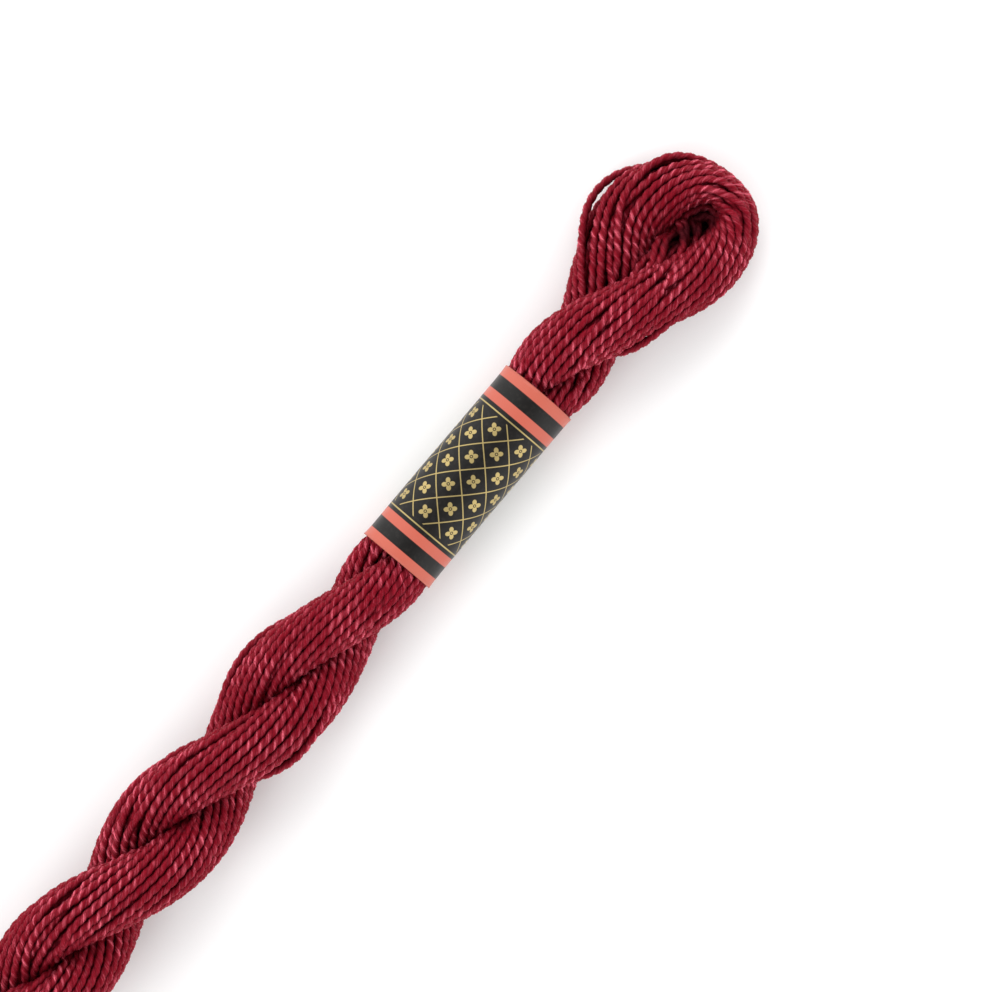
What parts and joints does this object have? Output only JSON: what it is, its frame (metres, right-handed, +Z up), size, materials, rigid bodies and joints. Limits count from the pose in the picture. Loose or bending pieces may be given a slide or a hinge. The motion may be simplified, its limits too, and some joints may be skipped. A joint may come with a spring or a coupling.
{
  "type": "skein of pearl cotton",
  "caption": "Twisted hank of pearl cotton lying flat, with a loop at each end and a printed paper band round it near one end.",
  "frame": {"origin": "on the table, under the middle of the skein's length and width", "axes": "+X along the skein towards the fold loop beside the paper band, +Z up from the table, +Y across the skein"},
  "size_m": [0.2032, 0.0148, 0.0107],
  "materials": {
    "cotton": "two-ply mercerised pearl cotton, deep garnet red with a silky sheen",
    "band": "smooth coated paper, black with coral stripes and thin gold ornament"
  },
  "bodies": {
    "root": {"hank": "cotton", "paper_band": "band"}
  },
  "joints": []
}
